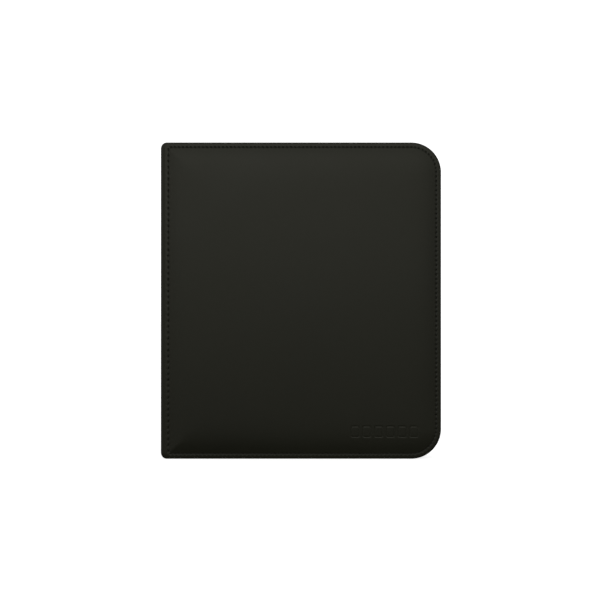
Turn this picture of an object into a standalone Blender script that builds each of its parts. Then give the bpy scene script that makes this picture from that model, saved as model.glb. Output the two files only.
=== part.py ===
"""Zip-around card binder, closed, standing on its lower edge.

Metres, +Z up. The front cover faces -Y, the spine is at -X and the covers open at +X.
The origin is the middle of the closed binder's footprint.
"""

import math

import bmesh
import bpy
from mathutils import Matrix, Vector

# --- driving dimensions -----------------------------------------------------------------------
WIDTH = 0.282
HEIGHT = 0.318
THICKNESS = 0.042
COVER_CORNER_RADIUS = 0.030
SHOULDER_RADIUS = 0.0065  # the leatherette's bend between a cover and the spine
GAP = 0.0003  # between pieces that touch

POCKET_COLUMNS = 3
POCKET_ROWS = 3
POCKET_PITCH_X = 0.0732  # a sleeved 63 x 88 mm card, lying upright, and one weld
POCKET_PITCH_Z = 0.0952
WELD_WIDTH = 0.0024
BINDING_MARGIN = 0.024
PAGE_COUNT = 16
PAGE_PITCH = 0.00185

# --- layers of a cover, from its outer face inwards -------------------------------------------
SKIN = 0.0009
FOAM = 0.0012
BOARD = 0.0018
LINING = 0.0005
RIM = 0.0010  # the skin turned over the board's edge
EDGE_ROUND = 0.0012

# --- spine ------------------------------------------------------------------------------------
SPINE_BOARD = 0.0020
BINDING_STRIP = 0.0010
SPINE_END = 0.0065  # how far each layer's ends stand back from the covers' ends
SPINE_BOARD_END = 0.0080
SPINE_LINING_END = 0.0070

# --- zipper -----------------------------------------------------------------------------------
ZIP_INSET = 0.0065  # the tape's wall, in from the covers' edge
TAPE = 0.0006
TAPE_HEM_INSET = 0.0015
ROW_GAP = 0.0016  # between the two rows of coils while the zip is undone
COIL_WIDTH = 0.0022
COIL_HEIGHT = 0.0022
SLIDER_LENGTH = 0.013
SLIDER_WIDTH = 0.0094
SLIDER_PLATE = 0.0010
SLIDER_EDGE = 0.0006
SLIDER_SIDE_PLAY = 0.0004
POST_START = 0.0025  # from the slider's middle
POST_LENGTH = 0.0030
POST_THICKNESS = 0.0010
BAIL_LENGTH = 0.0076
BAIL_WIDTH = 0.0016
BAIL_HEIGHT = 0.0023
BAIL_WIRE = 0.0008
BAIL_FLOOR = 0.0001  # left under the bail's window, so that its legs stay joined
PULL_LENGTH = 0.026  # from its axis to its tip
PULL_THICKNESS = 0.0009
PULL_NECK_WIDTH = 0.0070
PULL_WIDTH = 0.0080
PULL_NECK_RUN = 0.0020  # straight past the window
PULL_FLARE = 0.0030  # from the neck's width to the tab's
PULL_WINDOW_LENGTH = 0.0055
PULL_WINDOW_WIDTH = 0.0036
PULL_LIFT = 0.00075  # its axis above the slider's plate
TAIL_INSET = 0.008  # the bottom stop's start, in from the spine's face
TAIL_LENGTH = 0.024
TAIL_HALF_WIDTH = 0.0055
TAIL_FRONT_SHORT = 0.0055  # its front half ends sooner, to pass the front tape as the back cover opens
TAIL_JOIN = 0.0015  # where the tail's halves are one piece
TOP_STOP_INSET = 0.012  # the top stops' start, in from the spine's face
STOP_LENGTH = 0.003
STOP_PROUD = 0.0002
BOTTOM_STOP_PROUD = 0.0004
BOTTOM_STOP_SIDE = 0.0008
PARK_GAP = 0.001  # between the bottom stop and the parked slider
CUT = 0.01  # how far a cutter runs past what it cuts

# --- pages ------------------------------------------------------------------------------------
SHEET = 0.0004
POCKET_FILM = 0.00015
POCKET_SPACE = 0.0003
PAGE_CORNER_RADIUS = 0.004

ARC_STEPS = 12
SMALL_ARC_STEPS = 4

# --- places worked out from the dimensions ----------------------------------------------------
X_LEFT = -WIDTH / 2
X_RIGHT = WIDTH / 2
HALF = THICKNESS / 2
COVER_DEPTH = SKIN + FOAM + BOARD + LINING + 3 * GAP
COVER_LEFT = X_LEFT + SHOULDER_RADIUS + GAP
INNER_FACE = HALF - COVER_DEPTH  # |y| of the linings' inner faces
TAPE_TOP_FACE = INNER_FACE - GAP  # |y| where the tape's hem lies on the lining
ROW_INNER = ROW_GAP / 2
ROW_OUTER = ROW_INNER + COIL_WIDTH
TAPE_EDGE = ROW_OUTER + GAP
TAIL_START = X_LEFT + TAIL_INSET
TAPE_START_TOP = TAIL_START + TAIL_LENGTH  # the covers' tapes start past the loose tail
TAPE_START_BOTTOM = X_LEFT + TOP_STOP_INSET
ZIP_PLANE_TOP = HEIGHT - ZIP_INSET

# A living hinge turns about the middle of its bend, where the flat and the bent skin agree.
NEUTRAL_RADIUS = SHOULDER_RADIUS - SKIN / 2
HINGE_OFFSET = SKIN / 2 + NEUTRAL_RADIUS * (1 - math.pi / 4)
HINGE_X = X_LEFT + HINGE_OFFSET
HINGE_Y = HALF - HINGE_OFFSET

SPINE_HALF = HALF - SHOULDER_RADIUS
SPINE_BOARD_X = X_LEFT + SKIN + GAP
SPINE_LINING_X = SPINE_BOARD_X + SPINE_BOARD + GAP
STRIP_X = SPINE_LINING_X + LINING + GAP
PAGE_ROOT_X = STRIP_X + BINDING_STRIP + GAP
PAGE_HINGE_X = PAGE_ROOT_X + SHEET / 2

PAGE_WIDTH = BINDING_MARGIN + POCKET_COLUMNS * POCKET_PITCH_X + WELD_WIDTH
PAGE_HEIGHT = POCKET_ROWS * POCKET_PITCH_Z + WELD_WIDTH
PAGE_BOTTOM = (HEIGHT - PAGE_HEIGHT) / 2
PAGE_TOP = PAGE_BOTTOM + PAGE_HEIGHT

SLIDER_X = TAIL_START + STOP_LENGTH + PARK_GAP + SLIDER_LENGTH / 2
SLIDER_HALF_CHANNEL = COIL_HEIGHT / 2 + GAP
SLIDER_HALF_HEIGHT = SLIDER_HALF_CHANNEL + SLIDER_PLATE
PULL_AXIS_Z = ZIP_PLANE_TOP + SLIDER_HALF_HEIGHT + PULL_LIFT


# --- materials --------------------------------------------------------------------------------
def material(name, colour, roughness, metallic=0.0, alpha=1.0):
    """A Principled BSDF, made once for each name."""
    found = bpy.data.materials.get(name)
    if found:
        return found
    made = bpy.data.materials.new(name)
    made.use_nodes = True
    made.diffuse_color = (*colour, alpha)
    shader = made.node_tree.nodes["Principled BSDF"]
    shader.inputs["Base Color"].default_value = (*colour, 1.0)
    shader.inputs["Roughness"].default_value = roughness
    shader.inputs["Metallic"].default_value = metallic
    shader.inputs["Alpha"].default_value = alpha
    return made


def leatherette():
    return material("black_leatherette", (0.022, 0.023, 0.019), 0.55)


def lining_cloth():
    return material("black_lining", (0.014, 0.014, 0.014), 0.85)


def greyboard():
    return material("greyboard", (0.25, 0.23, 0.20), 0.9)


def foam():
    return material("grey_foam", (0.18, 0.18, 0.18), 0.95)


def zipper_tape():
    return material("black_zipper_tape", (0.012, 0.012, 0.012), 0.8)


def coil_nylon():
    return material("black_nylon", (0.02, 0.02, 0.02), 0.4)


def dark_metal():
    return material("black_nickel", (0.09, 0.09, 0.09), 0.3, metallic=1.0)


def page_core():
    return material("black_polypropylene", (0.012, 0.012, 0.013), 0.5)


def clear_film():
    return material("clear_film", (0.9, 0.9, 0.9), 0.12, alpha=0.3)


# --- mesh helpers -----------------------------------------------------------------------------
def new_object(name, mesh_data, made_of):
    part = bpy.data.objects.new(name, mesh_data)
    bpy.context.scene.collection.objects.link(part)
    part.data.materials.append(made_of)
    return part


def loft(name, loops, made_of):
    """A closed solid through loops of equal length, with a flat cap on the first and the last."""
    mesh = bpy.data.meshes.new(name)
    bm = bmesh.new()
    rings = [[bm.verts.new(point) for point in loop] for loop in loops]
    for ring, following in zip(rings, rings[1:]):
        for i, corner in enumerate(ring):
            j = (i + 1) % len(ring)
            bm.faces.new((corner, ring[j], following[j], following[i]))
    bm.faces.new(rings[0])
    bm.faces.new(rings[-1])
    bmesh.ops.recalc_face_normals(bm, faces=bm.faces)
    bm.to_mesh(mesh)
    bm.free()
    return new_object(name, mesh, made_of)


def block(name, low, high, made_of):
    """A box between two corners."""
    (x0, y0, z0), (x1, y1, z1) = low, high
    return loft(
        name,
        [[(x0, y0, z), (x1, y0, z), (x1, y1, z), (x0, y1, z)] for z in (z0, z1)],
        made_of,
    )


def arc(centre_x, centre_z, radius, from_deg, to_deg, steps=ARC_STEPS):
    """Points (x, z) along an arc, both ends included."""
    angles = (
        math.radians(from_deg + (to_deg - from_deg) * i / steps)
        for i in range(steps + 1)
    )
    return [
        (centre_x + radius * math.cos(a), centre_z + radius * math.sin(a))
        for a in angles
    ]


def cover_outline(inset):
    """(x, z) of a cover's edge, this far in: square at the spine, round at the opening side."""
    left, right = COVER_LEFT + inset, X_RIGHT - inset
    low, high = inset, HEIGHT - inset
    radius = COVER_CORNER_RADIUS - inset
    return [
        (left, low),
        *arc(right - radius, low + radius, radius, -90, 0),
        *arc(right - radius, high - radius, radius, 0, 90),
        (left, high),
    ]


def ring(inset, y):
    return [(x, y, z) for x, z in cover_outline(inset)]


def tray(name, side, made_of):
    """A cover's skin: the outer face with a rounded edge and the rim turned over the board."""
    outer = side * HALF
    rounded = [
        ring(
            EDGE_ROUND * (1 - math.sin(a)),
            outer - side * EDGE_ROUND * (1 - math.cos(a)),
        )
        for a in (0, math.pi / 6, math.pi / 3, math.pi / 2)
    ]
    loops = [
        *rounded,
        ring(0, side * INNER_FACE),
        ring(RIM, side * INNER_FACE),
        ring(RIM, outer - side * SKIN),
    ]
    return loft(name, loops, made_of)


def cover_layer(name, side, from_outside, depth, made_of):
    """A flat layer inside a cover's skin."""
    outer = side * (HALF - from_outside)
    inset = RIM + GAP
    return loft(name, [ring(inset, outer), ring(inset, outer - side * depth)], made_of)


def zip_path(start_top, start_bottom):
    """The covers' edge from near the spine's top end round to its bottom end, as (x, z, normal)."""
    radius = COVER_CORNER_RADIUS
    centre_x = X_RIGHT - radius
    path = [(start_top, HEIGHT, (0.0, 1.0))]
    for centre_z, from_deg in ((HEIGHT - radius, 90), (radius, 0)):
        for i in range(ARC_STEPS + 1):
            a = math.radians(from_deg - 90 * i / ARC_STEPS)
            normal = (math.cos(a), math.sin(a))
            x, z = centre_x + radius * normal[0], centre_z + radius * normal[1]
            path.append((x, z, normal))
    path.append((start_bottom, 0.0, (0.0, -1.0)))
    return path


def tape_runs():
    """The zipper tape's path in three runs: along the top, down the side and along the bottom."""
    path = zip_path(TAPE_START_TOP, TAPE_START_BOTTOM)
    top, bottom = path[: ARC_STEPS + 2], path[ARC_STEPS + 2 :]
    x, high, normal = top[-1]
    low = bottom[0][1]
    side = [(x, high - GAP, normal), (x, low + GAP, normal)]
    return {"top": top, "side": side, "bottom": bottom}


def sweep(name, path, profile, made_of):
    """A solid that carries a profile of (inset from the edge, y) points along the path."""
    loops = [
        [(x - inset * n[0], y, z - inset * n[1]) for inset, y in profile]
        for x, z, n in path
    ]
    return loft(name, loops, made_of)


def boolean(target, operation, cutter):
    """Joins another solid to the target, or cuts it away, and keeps the other as a hidden helper."""
    modifier = target.modifiers.new(cutter.name, "BOOLEAN")
    modifier.operation = operation
    modifier.solver = "EXACT"
    modifier.object = cutter
    cutter.hide_render = True
    cutter.display_type = "WIRE"


def body(name, pivot, *pieces):
    """An empty on a joint's axis that carries the pieces of one moving body."""
    empty = bpy.data.objects.new(name, None)
    empty.location = pivot
    bpy.context.scene.collection.objects.link(empty)
    for piece in pieces:
        piece.data.transform(Matrix.Translation(-Vector(pivot)))
        piece.parent = empty
    return empty


# --- spine ------------------------------------------------------------------------------------
def shoulder_end(x):
    """How far a shoulder's end stands back from the covers' ends, at this distance from the spine."""
    reach = min(max(x - X_LEFT, 0.0), SHOULDER_RADIUS)
    drop = SPINE_END - math.sqrt(SPINE_END**2 - (SPINE_END - reach) ** 2)
    return max(drop, 2 * GAP)


def hinge_skin(name, side):
    """The quarter-round of leatherette that bends when a cover opens."""
    centre_x, centre_y = X_LEFT + SHOULDER_RADIUS, side * SPINE_HALF
    free = GAP / SHOULDER_RADIUS
    loops = []
    for i in range(ARC_STEPS + 1):
        a = free + (math.pi / 2 - 2 * free) * i / ARC_STEPS
        outward = (-math.cos(a), side * math.sin(a))
        drop = shoulder_end(centre_x + SHOULDER_RADIUS * outward[0])
        loops.append(
            [
                (centre_x + r * outward[0], centre_y + r * outward[1], z)
                for r, z in (
                    (SHOULDER_RADIUS, drop),
                    (SHOULDER_RADIUS, HEIGHT - drop),
                    (SHOULDER_RADIUS - SKIN, HEIGHT - drop),
                    (SHOULDER_RADIUS - SKIN, drop),
                )
            ]
        )
    return loft(name, loops, leatherette())


def spine_layer(name, x, depth, half_width, end, made_of):
    return block(
        name, (x, -half_width, end), (x + depth, half_width, HEIGHT - end), made_of
    )


def make_spine():
    binding_half = PAGE_COUNT / 2 * PAGE_PITCH
    pieces = [
        spine_layer(
            "spine_skin", X_LEFT, SKIN, SPINE_HALF - GAP, SPINE_END, leatherette()
        ),
        spine_layer(
            "spine_board",
            SPINE_BOARD_X,
            SPINE_BOARD,
            SPINE_HALF - 3 * GAP,
            SPINE_BOARD_END,
            greyboard(),
        ),
        spine_layer(
            "spine_lining",
            SPINE_LINING_X,
            LINING,
            SPINE_HALF - GAP,
            SPINE_LINING_END,
            lining_cloth(),
        ),
        block(
            "page_binding_strip",
            (STRIP_X, -binding_half, PAGE_BOTTOM),
            (STRIP_X + BINDING_STRIP, binding_half, PAGE_TOP),
            lining_cloth(),
        ),
        hinge_skin("front_hinge_skin", -1),
        hinge_skin("back_hinge_skin", 1),
    ]
    body("spine", (X_LEFT, 0, 0), *pieces)


# --- covers and their halves of the zipper ----------------------------------------------------
def cover_pieces(which, side):
    """The layers of one cover, with the tape, coil and end stop sewn to it."""
    hem = side * TAPE_TOP_FACE
    tape_profile = [
        (TAPE_HEM_INSET, hem),
        (TAPE_HEM_INSET, hem - side * TAPE),
        (ZIP_INSET - TAPE / 2, hem - side * TAPE),
        (ZIP_INSET - TAPE / 2, side * TAPE_EDGE),
        (ZIP_INSET + TAPE / 2, side * TAPE_EDGE),
        (ZIP_INSET + TAPE / 2, hem),
    ]
    coil_profile = [
        (ZIP_INSET - COIL_HEIGHT / 2, side * ROW_INNER),
        (ZIP_INSET + COIL_HEIGHT / 2, side * ROW_INNER),
        (ZIP_INSET + COIL_HEIGHT / 2, side * ROW_OUTER),
        (ZIP_INSET - COIL_HEIGHT / 2, side * ROW_OUTER),
    ]
    stop_end = TAPE_START_BOTTOM + STOP_LENGTH
    coil_path = zip_path(TAPE_START_TOP, stop_end + GAP)
    row = sorted((side * ROW_INNER, side * ROW_OUTER))
    stop_half = COIL_HEIGHT / 2 + STOP_PROUD
    board_from = SKIN + FOAM + 2 * GAP
    tapes = [
        sweep(f"zipper_tape_{which}_{run}", path, tape_profile, zipper_tape())
        for run, path in tape_runs().items()
    ]
    return [
        *tapes,
        tray(f"{which}_cover_skin", side, leatherette()),
        cover_layer(f"{which}_cover_foam", side, SKIN + GAP, FOAM, foam()),
        cover_layer(f"{which}_cover_board", side, board_from, BOARD, greyboard()),
        cover_layer(
            f"{which}_cover_lining",
            side,
            board_from + BOARD + GAP,
            LINING,
            lining_cloth(),
        ),
        sweep(f"zipper_coil_{which}", coil_path, coil_profile, coil_nylon()),
        block(
            f"zipper_top_stop_{which}",
            (TAPE_START_BOTTOM, row[0], ZIP_INSET - stop_half),
            (stop_end, row[1], ZIP_INSET + stop_half),
            dark_metal(),
        ),
    ]


def zipper_tail():
    """The loose end of the zipper: both tapes and both rows of coils, past the bottom stop."""
    half_tape, half_coil = TAPE / 2, COIL_HEIGHT / 2
    low, high = ZIP_PLANE_TOP - half_coil, ZIP_PLANE_TOP + half_coil
    start = TAIL_START + STOP_LENGTH + GAP
    join_end = start + TAIL_JOIN
    back_end = TAPE_START_TOP - GAP
    front_end = back_end - TAIL_FRONT_SHORT
    tail = block(
        "zipper_tail",
        (start, -TAIL_HALF_WIDTH, ZIP_PLANE_TOP - half_tape),
        (back_end, TAIL_HALF_WIDTH, ZIP_PLANE_TOP + half_tape),
        zipper_tape(),
    )
    slot = block(
        "tail_slot",
        (join_end, -ROW_INNER, low - CUT),
        (back_end + CUT, ROW_INNER, high + CUT),
        zipper_tape(),
    )
    front_cut = block(
        "tail_front_cut",
        (front_end, -TAIL_HALF_WIDTH - CUT, low - CUT),
        (back_end + CUT, 0, high + CUT),
        zipper_tape(),
    )
    boolean(tail, "DIFFERENCE", slot)
    boolean(tail, "DIFFERENCE", front_cut)
    for which, side, end in (("front", -1, front_end), ("back", 1, back_end)):
        row = sorted((side * ROW_INNER, side * ROW_OUTER))
        coil = block(
            f"tail_coil_{which}",
            (join_end + GAP, row[0], low),
            (end - GAP, row[1], high),
            coil_nylon(),
        )
        boolean(tail, "UNION", coil)
    return tail


def bottom_stop():
    """The metal box that ends the zipper beside the spine."""
    half_height = COIL_HEIGHT / 2 + BOTTOM_STOP_PROUD
    half_width = ROW_OUTER + BOTTOM_STOP_SIDE
    return block(
        "zipper_bottom_stop",
        (TAIL_START, -half_width, ZIP_PLANE_TOP - half_height),
        (TAIL_START + STOP_LENGTH, half_width, ZIP_PLANE_TOP + half_height),
        dark_metal(),
    )


def make_covers():
    for which, side in (("front", -1), ("back", 1)):
        pieces = cover_pieces(which, side)
        if which == "back":
            pieces += [zipper_tail(), bottom_stop()]
        carried = pieces + [
            m.object for p in pieces for m in p.modifiers if m.type == "BOOLEAN"
        ]
        body(f"{which}_cover", (HINGE_X, side * HINGE_Y, 0), *carried)


# --- slider and pull --------------------------------------------------------------------------
def slider_block(name, half_x, half_y, low, high):
    """A metal box centred on the slider, between two heights above the zipper's plane."""
    return block(
        name,
        (SLIDER_X - half_x, -half_y, ZIP_PLANE_TOP + low),
        (SLIDER_X + half_x, half_y, ZIP_PLANE_TOP + high),
        dark_metal(),
    )


def slider_body():
    """Two plates round the coils, with flanges, the dividing post and the bail that holds the pull."""
    half_height = SLIDER_HALF_HEIGHT
    slider = slider_block(
        "zipper_slider", SLIDER_LENGTH / 2, SLIDER_WIDTH / 2, -half_height, half_height
    )
    edges = slider.modifiers.new("edges", "BEVEL")
    edges.width = SLIDER_EDGE
    edges.segments = 2
    channel = slider_block(
        "slider_channel",
        CUT,
        ROW_OUTER + SLIDER_SIDE_PLAY,
        -SLIDER_HALF_CHANNEL,
        SLIDER_HALF_CHANNEL,
    )
    tape_slot = slider_block("slider_tape_slot", CUT, CUT, -TAPE, TAPE)
    sunk = SLIDER_PLATE / 2
    post = block(
        "slider_post",
        (
            SLIDER_X + POST_START,
            -POST_THICKNESS / 2,
            ZIP_PLANE_TOP - half_height + sunk,
        ),
        (
            SLIDER_X + POST_START + POST_LENGTH,
            POST_THICKNESS / 2,
            ZIP_PLANE_TOP + half_height - sunk,
        ),
        dark_metal(),
    )
    bail = slider_block(
        "slider_bail",
        BAIL_LENGTH / 2,
        BAIL_WIDTH / 2,
        half_height - sunk,
        half_height + BAIL_HEIGHT,
    )
    bail_window = slider_block(
        "slider_bail_window",
        BAIL_LENGTH / 2 - BAIL_WIRE,
        BAIL_WIDTH,
        half_height - BAIL_FLOOR,
        half_height + BAIL_HEIGHT - BAIL_WIRE,
    )
    boolean(bail, "DIFFERENCE", bail_window)
    for operation, helper in (
        ("DIFFERENCE", channel),
        ("DIFFERENCE", tape_slot),
        ("UNION", post),
        ("UNION", bail),
    ):
        boolean(slider, operation, helper)
    return [slider, channel, tape_slot, post, bail, bail_window]


def pull_tab():
    """A flat tab whose end bar passes under the slider's bail, with a window round the bail's leg."""
    half_bar = PULL_THICKNESS / 2
    neck, half_width = PULL_NECK_WIDTH / 2, PULL_WIDTH / 2
    waist = SLIDER_X + PULL_WINDOW_LENGTH + PULL_NECK_RUN
    tip = SLIDER_X + PULL_LENGTH
    side = [
        (SLIDER_X - half_bar, -neck),
        (waist, -neck),
        (waist + PULL_FLARE, -half_width),
        *arc(tip - half_width, 0, half_width, -90, 0, SMALL_ARC_STEPS),
    ]
    outline = side + [(x, -y) for x, y in reversed(side[:-1])]
    tab = loft(
        "zipper_pull",
        [
            [(x, y, z) for x, y in outline]
            for z in (PULL_AXIS_Z - half_bar, PULL_AXIS_Z + half_bar)
        ],
        dark_metal(),
    )
    window = block(
        "pull_window",
        (SLIDER_X + half_bar, -PULL_WINDOW_WIDTH / 2, PULL_AXIS_Z - CUT),
        (
            SLIDER_X + PULL_WINDOW_LENGTH,
            PULL_WINDOW_WIDTH / 2,
            PULL_AXIS_Z + CUT,
        ),
        dark_metal(),
    )
    boolean(tab, "DIFFERENCE", window)
    return [tab, window]


def make_slider():
    body("zipper_slider_body", (SLIDER_X, 0, ZIP_PLANE_TOP), *slider_body())
    body("zipper_pull_body", (SLIDER_X, 0, PULL_AXIS_Z), *pull_tab())


# --- pages ------------------------------------------------------------------------------------
def page_outline():
    """(x, z) of a page: square at the binding, with small round corners at its free edge."""
    right, radius = PAGE_ROOT_X + PAGE_WIDTH, PAGE_CORNER_RADIUS
    return [
        (PAGE_ROOT_X, PAGE_BOTTOM),
        *arc(right - radius, PAGE_BOTTOM + radius, radius, -90, 0, SMALL_ARC_STEPS),
        *arc(right - radius, PAGE_TOP - radius, radius, 0, 90, SMALL_ARC_STEPS),
        (PAGE_ROOT_X, PAGE_TOP),
    ]


def page_pieces(number, y):
    """A page's opaque core sheet, and the clear film folded round its free edge for the pockets."""
    name = f"page_{number:02d}"
    sheet = loft(
        f"{name}_sheet",
        [[(x, y + s * SHEET / 2, z) for x, z in page_outline()] for s in (-1, 1)],
        page_core(),
    )
    inner = SHEET / 2 + POCKET_SPACE
    outer = inner + POCKET_FILM
    start = PAGE_ROOT_X + BINDING_MARGIN
    fold = PAGE_ROOT_X + PAGE_WIDTH + GAP
    section = [
        (start, -outer),
        (fold + WELD_WIDTH / 2, -outer),
        (fold + WELD_WIDTH / 2, outer),
        (start, outer),
        (start, inner),
        (fold, inner),
        (fold, -inner),
        (start, -inner),
    ]
    pockets = loft(
        f"{name}_pockets",
        [[(x, y + dy, z) for x, dy in section] for z in (PAGE_BOTTOM, PAGE_TOP)],
        clear_film(),
    )
    return [sheet, pockets]


def make_pages():
    for number in range(1, PAGE_COUNT + 1):
        y = (number - (PAGE_COUNT + 1) / 2) * PAGE_PITCH
        body(f"page_{number:02d}", (PAGE_HINGE_X, y, 0), *page_pieces(number, y))


def main():
    for old in list(bpy.data.objects):
        bpy.data.objects.remove(old, do_unlink=True)
    make_spine()
    make_covers()
    make_slider()
    make_pages()


main()
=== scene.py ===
"""The look of the zip-around card binder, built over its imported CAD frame.

Metres, +Z up. The front cover faces -Y, the spine is at -X and the covers open at +X.
"""

import math

import bmesh
import bpy
import numpy as np
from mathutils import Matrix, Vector, geometry


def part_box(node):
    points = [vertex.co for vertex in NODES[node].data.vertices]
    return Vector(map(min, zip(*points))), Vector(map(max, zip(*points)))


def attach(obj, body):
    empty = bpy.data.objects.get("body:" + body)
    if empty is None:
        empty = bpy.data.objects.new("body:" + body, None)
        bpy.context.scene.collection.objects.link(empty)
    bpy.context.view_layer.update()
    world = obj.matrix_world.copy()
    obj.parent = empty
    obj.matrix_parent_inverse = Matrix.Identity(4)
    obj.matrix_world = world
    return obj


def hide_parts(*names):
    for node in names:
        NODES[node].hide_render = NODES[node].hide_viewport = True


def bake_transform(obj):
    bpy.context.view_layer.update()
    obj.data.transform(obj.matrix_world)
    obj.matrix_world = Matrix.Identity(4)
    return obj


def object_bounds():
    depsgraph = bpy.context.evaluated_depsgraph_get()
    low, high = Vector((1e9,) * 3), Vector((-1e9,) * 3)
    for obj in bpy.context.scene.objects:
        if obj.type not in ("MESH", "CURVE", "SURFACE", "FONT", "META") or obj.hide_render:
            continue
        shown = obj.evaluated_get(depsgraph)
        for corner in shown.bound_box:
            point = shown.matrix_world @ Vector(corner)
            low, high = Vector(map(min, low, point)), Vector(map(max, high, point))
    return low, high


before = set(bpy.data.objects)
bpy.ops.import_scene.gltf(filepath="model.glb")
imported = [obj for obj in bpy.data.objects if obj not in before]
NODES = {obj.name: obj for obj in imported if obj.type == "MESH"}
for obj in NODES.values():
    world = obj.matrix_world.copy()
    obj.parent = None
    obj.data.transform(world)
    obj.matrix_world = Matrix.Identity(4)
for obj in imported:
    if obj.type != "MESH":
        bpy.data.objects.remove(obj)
CAD_LOW, CAD_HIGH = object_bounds()

# --- places from the frame ---
X_LEFT, X_RIGHT = CAD_LOW.x, CAD_HIGH.x
HEIGHT = CAD_HIGH.z
HALF = CAD_HIGH.y
INNER_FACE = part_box("back_cover_lining")[0].y  # |y| of the linings' inner faces
SPINE_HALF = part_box("back_hinge_skin")[0].y  # |y| where the shoulders leave the spine
SHOULDER = HALF - SPINE_HALF
COIL_LOW, COIL_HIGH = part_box("zipper_coil_back")
ROW_INNER, ROW_OUTER = COIL_LOW.y, COIL_HIGH.y
ZIP_INSET = COIL_LOW.z + (ROW_OUTER - ROW_INNER) / 2  # the coil is as high as it is wide
SIDES = {"front": -1, "back": 1}

# --- driving dimensions ---
CORNER_RADIUS = 0.030
SKIN = 0.0009  # the leatherette's thickness
WELT_DEPTH = 0.0016  # the sewn edge lies this much below the cover's face
WELT_DROOP = 0.0003  # from the stitches to the start of the rounded edge
EDGE_ROUND = 0.0014
STITCH_INSET = 0.0050
STITCH_INSET_SPINE = 0.0080
STITCH_CORNER = 0.0026  # the stitch line's radius at the spine's corners
PAD_RISE = 0.0019
PAD_RUN = 0.0085  # how soon the padding rises inside the stitch line
CROWN = 0.0004
GROOVE_DEPTH = 0.00004
HOLE_DEPTH = 0.00095
GROOVE_WIDTH = 0.00062
STITCH_PITCH = {"end": 0.0040, "side": 0.0047, "spine": 0.0059}
STITCH_SAMPLES = 6
THREAD_RADIUS = 0.00030
CLEARANCE = 0.0002
HINGE_LINING = 0.0004

# --- zipper and pages ---
TAPE = 0.0006
COIL_WIRE = 0.00034
COIL_PITCH = 0.0014
COIL_STEPS = 9
TAIL_FRONT_SHORT = 0.0055
# How far each undone row leans inwards, past the slider's travel.
ROWS_TOGETHER = ROW_INNER - 0.00002
CORE = 0.00045  # the radius of the cord inside a row of coil
SLIDER_CHANNEL, SLIDER_PLATE = 0.0014, 0.0010
BAIL_WIRE, BAIL_REACH = 0.0004, 0.0038
BAIL_WIDTH = 1.9  # of the bail, in wires
POCKET_COLUMNS = POCKET_ROWS = 3
PAGE_COUNT = sum(node.endswith("_sheet") for node in NODES)
WELD = 0.0024
FILM = 0.00012
FILM_LIFT = 0.00036
FILM_WELDED = 0.00007
FILM_EDGE = 0.0002

# Distances of the skin's rings of vertices from the stitch line, outwards and inwards.
RINGS_OUT = (1.0, 0.92, 0.8, 0.66, 0.56, 0.48, 0.41, 0.34, 0.27, 0.2)  # parts of the way to the lip
RINGS_NEAR = (-0.0011, -0.0008, -0.00052, -0.00026, 0.0, 0.00026, 0.00052, 0.0008, 0.0011)
RINGS_IN = (0.0016, 0.0023, 0.0032, 0.0044, 0.0060, 0.0080, 0.0105)
GRID = 0.004  # of the cover's middle

# How far the skin runs from the stitch line to its lip: the flat edge, the rounded edge and the wall.
WALL = HALF - INNER_FACE - WELT_DEPTH - WELT_DROOP - EDGE_ROUND
OPEN_REACH = STITCH_INSET - EDGE_ROUND + EDGE_ROUND * math.pi / 2 + WALL
SHOULDER_ARC = math.pi / 2 * math.hypot(SHOULDER, SHOULDER - WELT_DEPTH) / math.sqrt(2)
SPINE_REACH = STITCH_INSET_SPINE - SHOULDER + SHOULDER_ARC

# --- the row of card outlines pressed into the front cover ---
CARD_WIDTH, CARD_HEIGHT = 0.0075, 0.0105
CARD_PITCH = 0.0118
CARD_COUNT = 6
CARD_CORNER = 0.0010
MOTIF_X, MOTIF_Z = 0.084, 0.0275
MOTIF_DEPTH = 0.00024
MOTIF_LINE = 0.00045
MOTIF_GRID = 0.00045
MOTIF_MARGIN = 0.0015

# --- light and camera ---
KEY_PLACE, KEY_TARGET = (-0.12, -1.6, 0.60), (0, 0, 0.16)
KEY_SIZE, KEY_POWER = (1.4, 0.7), 2.0
# The sky's grey by how far a direction lies along SKY_UP, from -1, straight away from it, to 1.
SKY_UP = (-0.06, -0.05, 1.0)
SKY = ((-1.0, 0.16), (-0.5, 0.13), (-0.32, 0.0), (-0.12, 0.0), (0.03, 0.46), (0.3, 0.52), (1.0, 0.40))
LENS, SENSOR = 85.0, 36.0
VIEW_WIDTH = 0.6019  # across the picture at the front cover
VIEW_X, VIEW_RISE = -0.0008, 0.0006  # from the middle of the cover
WAVE_PERIOD = 0.314  # of a wave texture at scale 1


# --- mesh helpers ---
def mesh_piece(name, points, faces, made_of, smooth=True):
    """A mesh object from points and lists of faces."""
    mesh = bpy.data.meshes.new(name)
    listed = [face for group in faces for face in np.asarray(group).tolist()]
    mesh.from_pydata(np.asarray(points).reshape(-1, 3).tolist(), [], listed)
    mesh.materials.append(made_of)
    if smooth:
        mesh.shade_smooth()
    made = bpy.data.objects.new(name, mesh)
    bpy.context.scene.collection.objects.link(made)
    return made


def unit(vectors):
    return vectors / np.linalg.norm(vectors, axis=-1, keepdims=True)


def grid_faces(rows, columns):
    """Quads between the rows of a grid of points whose rows are rings."""
    index = np.arange(rows * columns).reshape(rows, columns)
    following = np.roll(index, -1, axis=1)
    return np.stack([index[:-1], following[:-1], following[1:], index[1:]], axis=-1).reshape(-1, 4)


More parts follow.
